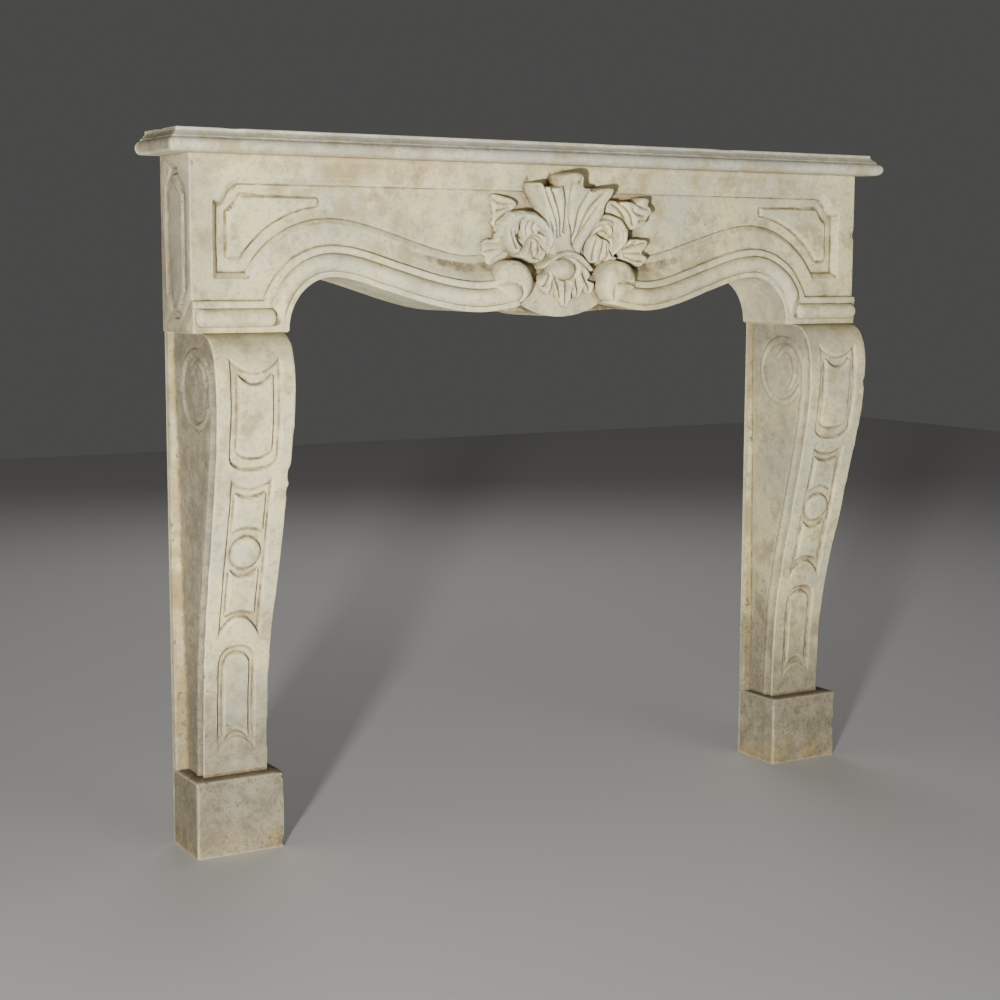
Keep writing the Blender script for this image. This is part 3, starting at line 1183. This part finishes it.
def weather(target):
    """Stores how hollow, grimy and ochre every point of a stone is."""
    mesh = target.data
    points, normals, edges = mesh_arrays(mesh)
    near = smoothed(points, edges, 5)
    far = smoothed(near, edges, 70)
    tight, wide = (((moved - points) * normals).sum(1) * 1000 / size
                   for moved, size in ((near, FINE_HOLLOW), (far, WIDE_HOLLOW)))
    x, z, front = points[:, 0] * 1000, points[:, 2] * 1000, BACK - points[:, 1] * 1000
    on_leg, on_frieze = (z > 121) & (z < 800), (z > FRIEZE_BOTTOM) & (z < FRIEZE_TOP)
    carved = (np.abs(x - 8) < 182) & (z > 826) & (z < 1063) & (front > 90)
    sides = smooth((np.abs(smoothed(normals, edges, 12)[:, 0]) - 0.45) / 0.4)

    joint_line = np.exp(-np.abs(z - 801.9) / 1.3) + 0.9 * np.exp(-np.abs(z - FRIEZE_TOP) / 1.3)
    hollow = np.clip(tight, -1.3, 1.6) * np.where(carved | (z < 800), 1, 1.25) + 1.3 * joint_line
    store(mesh, "hollow", hollow * (1 - 0.45 * sides * on_leg))
    store(mesh, "pocket", np.clip(wide, 0, 1.4) * np.where(carved, 1.25, 0.5))

    ends = sides * ((np.abs(x) > 628) | (z < 120)) * np.where(x < 0, 1, -1)
    outer = 1.7 * sides * (x < -590) * (z > 120) * (z < FRIEZE_BOTTOM)
    foot = 2 * (1 - smooth((z - 118) / 6))
    foot = foot + 1.6 * (z > 118) * (1 - smooth((z - 118) / 270))
    crown = (z > 1086) * (z < 1096) * 0.15
    weathered = 0.42 * smooth((-575 - x) / 30) * on_frieze
    weathered = weathered + 0.42 * smooth((z - 745) / 30) * (z < FRIEZE_BOTTOM)
    patina = 0.6 * sides + 0.62 * ends + 0.5 * outer + 0.72 * foot + crown + weathered
    store(mesh, "patina", np.clip(patina, 0, 2.6))

    strip = (front > 10.5) & (front < 14.5) & (z > 121) & (z < 801)
    joint = np.exp(-np.abs(z - 1063.5) / 20) + 0.8 * np.exp(-np.abs(z - FRIEZE_BOTTOM) / 5)
    ochre = 0.95 * strip + 0.7 * joint + 0.8 * smooth((60 - z) / 40)
    store(mesh, "ochre", np.clip(ochre, 0, 1.2))
    mesh.shade_smooth()
    mesh.set_sharp_from_angle(angle=math.radians(48))
    print(target.name, "hollow from %.2f to %.2f," % (hollow.min(), hollow.max()), triangles(target),
          "triangles")


for stone in (frieze, jamb_left, jamb_right, shelf):
    weather(stone)

# %% [markdown]
# Limestone is warm cream with grey and ochre mottling, and its pores show as small dark pits. One
# material serves every stone; the shelf only gets a greyer base. Each tint goes over the last
# through its own patches of noise, and the four stored numbers say where on the stone it belongs.

# %% Limestone
TINTS = {"buff": (0.38, 0.325, 0.18), "umber": (0.27, 0.225, 0.125), "rust": (0.41, 0.29, 0.105),
         "crust": (0.145, 0.125, 0.085), "pale crust": (0.255, 0.218, 0.145),
         "soot": (0.085, 0.072, 0.048), "damp": (0.33, 0.235, 0.085), "speckle": (0.12, 0.10, 0.06),
         "pocket": (0.29, 0.22, 0.12), "dirt": (0.13, 0.09, 0.045), "rubbed": (0.72, 0.66, 0.47),
         "grain": (0.30, 0.26, 0.16), "spots": (0.15, 0.09, 0.045), "pits": (0.14, 0.11, 0.07)}
TINTS = {name: (*tint, 1) for name, tint in TINTS.items()}
ROUGHNESS, SHINE, BUMP = 0.88, 0.2, 0.55


def limestone(name, base, grey, ochre_amount):
    material = bpy.data.materials.new(name)
    material.use_nodes = True
    tree = material.node_tree
    surface = next(n for n in tree.nodes if n.type == "BSDF_PRINCIPLED")
    point = Socket(tree, tree.nodes.new("ShaderNodeTexCoord").outputs["Object"])
    hollow, pocket, patina, ochre = (
        point.put("ShaderNodeAttribute", {"attribute_name": stored}, {}, "Fac")
        for stored in ("hollow", "pocket", "patina", "ochre"))
    blotch, rust = point.noise(21, 9, 0.74), point.noise(10, 9, 0.76)
    patchy = point.noise(38, 7, 0.72).ramp(0.38, 0.62)
    grimy = patina.ramp(0, 1.5)

    smudge = point.noise(3.2, 8, 0.72).ramp(0.50, 0.64)
    smudge = smudge * point.noise(55, 6, 0.7).ramp(0.36, 0.62)
    rusty = (rust + ochre * 0.15).ramp(0.53, 0.68) * (ochre * 0.25 + ochre_amount)
    crust = point.noise(33, 8, 0.75).ramp(0.40, 0.62).blend(TINTS["crust"], TINTS["pale crust"])
    covered = patina * (point.noise(14, 9, 0.72).ramp(0.36, 0.66) * 0.36 + 0.55)
    damp = point.noise(26, 8, 0.72).ramp(0.42, 0.62) * grimy * ochre * 1.4
    speckle = point.noise(95, 5, 0.62).ramp(0.56, 0.68) * grimy * 1.4
    dirt = (hollow + (blotch - 0.5) * 0.6).ramp(0.35, 1.25) * (patchy * 0.7 + 0.3)
    spotted = point.noise(85, 4, 0.6).ramp(0.60, 0.70) * ochre
    pitted = point.noise(9, 5, 0.6).ramp(0.48, 0.66) * 0.75 + patina.ramp(0, 1.8) * 0.8
    pits = point.noise(240, 4, 0.6).ramp(0.57, 0.70) * pitted

    colour = point.noise(5, 9, 0.70).ramp(0.43, 0.57).blend((*base, 1), (*grey, 1))
    for cover, tint in (
            (blotch.ramp(0.48, 0.62) * 0.8, TINTS["buff"]), (smudge * 0.62, TINTS["umber"]),
            (rusty, TINTS["rust"]), (covered.maths("MINIMUM", covered, 0.92), crust),
            (patina.ramp(1.3, 2.5) * 0.6, TINTS["soot"]), (damp * 0.5, TINTS["damp"]),
            (speckle * 0.45, TINTS["speckle"]), (pocket * (patchy * 0.45 + 0.16), TINTS["pocket"]),
            (dirt * 0.9, TINTS["dirt"]), ((0 - hollow).ramp(0.3, 1.2) * 0.22, TINTS["rubbed"]),
            (point.noise(150, 5, 0.65).ramp(0.50, 0.70) * 0.5, TINTS["grain"])):
        colour = cover.blend(colour, tint)
    colour = (ochre * 0.9).blend(colour, spotted.blend(colour, TINTS["spots"]))
    colour = (pits * 0.9).blend(colour, TINTS["pits"])

    height = point.noise(230, 5, 0.65) * 0.6 - pits * 0.8
    bump = point.put("ShaderNodeBump", {}, {"Strength": BUMP, "Distance": 0.001, "Height": height})
    tree.links.new(colour.socket, surface.inputs["Base Color"])
    tree.links.new(bump.socket, surface.inputs["Normal"])
    surface.inputs["Roughness"].default_value = ROUGHNESS
    surface.inputs["Specular IOR Level"].default_value = SHINE
    return material


cream = limestone("limestone", (0.70, 0.615, 0.335), (0.53, 0.51, 0.35), 0.58)
greyer = limestone("shelf limestone", (0.58, 0.55, 0.41), (0.43, 0.425, 0.36), 0.25)

for piece, node, slot, material in (
        (frieze, "frieze", "limestone", cream), (jamb_left, "jamb_left", "limestone", cream),
        (jamb_right, "jamb_right", "limestone", cream), (shelf, "mantel_shelf", "shelf", greyer)):
    piece.data.materials.clear()
    piece.data.materials.append(material)
    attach(piece, "root")
    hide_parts(node)
    print(piece.name, "is dressed in", material.name)

# %% [markdown]
# The stage is a plain pale floor. The main light stands low and a little to the left of the camera,
# as in the photograph, so the carving throws its shadows up and to the right. A weaker light fills
# the right, and a third, behind and above, shows the shelf's top and the plain back.

# %% Stage, light and camera
PITCH, YAW, ROLL = (math.radians(angle) for angle in (7.1805, 30.4649, 0.1944))
CAMERA_AT, SENSOR, LENS = (-1.6180, -2.6019, 0.9008), 36, 66.608
LIGHTS = {"key": ((-2.55, -2.95, 0.36), (0, 0, 0.85), 0.18, 274),
          "fill": ((0.9, -3.6, 1.6), (0, 0, 0.6), 2, 15),
          "back": ((1, 2.6, 2.7), (0, 0, 0.7), 1.8, 20)}


def studio_floor():
    mesh = bpy.data.meshes.new("studio floor")
    mesh.from_pydata([(-6, -6, 0), (6, -6, 0), (6, 6, 0), (-6, 6, 0)], [], [(0, 1, 2, 3)])
    paint = bpy.data.materials.new("pale floor")
    paint.use_nodes = True
    surface = next(n for n in paint.node_tree.nodes if n.type == "BSDF_PRINCIPLED")
    surface.inputs["Base Color"].default_value = (0.72, 0.71, 0.69, 1)
    surface.inputs["Roughness"].default_value = 0.9
    mesh.materials.append(paint)
    floor = link("studio_floor", mesh)
    floor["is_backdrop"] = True


def soft_light(name, place_at, aim_at, size, power):
    data = bpy.data.lights.new(name, "AREA")
    data.shape, data.size, data.energy = "SQUARE", size, power
    made = link(name, data)
    made.location = place_at
    made.rotation_euler = (Vector(aim_at) - Vector(place_at)).to_track_quat("-Z", "Y").to_euler()


def set_camera():
    """The camera of the photograph: to the left of the middle and a little above the carving."""
    turn = Matrix.Rotation(-YAW, 3, "Z") @ Matrix.Rotation(math.pi / 2 - PITCH, 3, "X")
    data = bpy.data.cameras.new("camera")
    data.sensor_width, data.lens = SENSOR, LENS
    made = link("camera", data)
    made.location = CAMERA_AT
    made.rotation_euler = (turn @ Matrix.Rotation(ROLL, 3, "Z")).to_euler()
    bpy.context.scene.camera = made


studio_floor()
for name, (place_at, aim_at, size, power) in LIGHTS.items():
    soft_light(name, place_at, aim_at, size, power)
world = bpy.data.worlds.new("studio")
world.use_nodes = True
world.node_tree.nodes["Background"].inputs["Color"].default_value = (1, 0.99, 0.97, 1)
world.node_tree.nodes["Background"].inputs["Strength"].default_value = 0.075
bpy.context.scene.world = world
set_camera()
print("lights:", ", ".join(LIGHTS))

# %% [markdown]
# Last, the box round the finished stones is measured again and written beside the one of the
# solids, so the two can be compared, and the scene is handed over.

# %% Sizes and finish
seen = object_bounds()
for label, box in (("solids", cad_box), ("stones", seen)):
    print(label, [[round(c * 1000, 2) for c in corner] for corner in box])
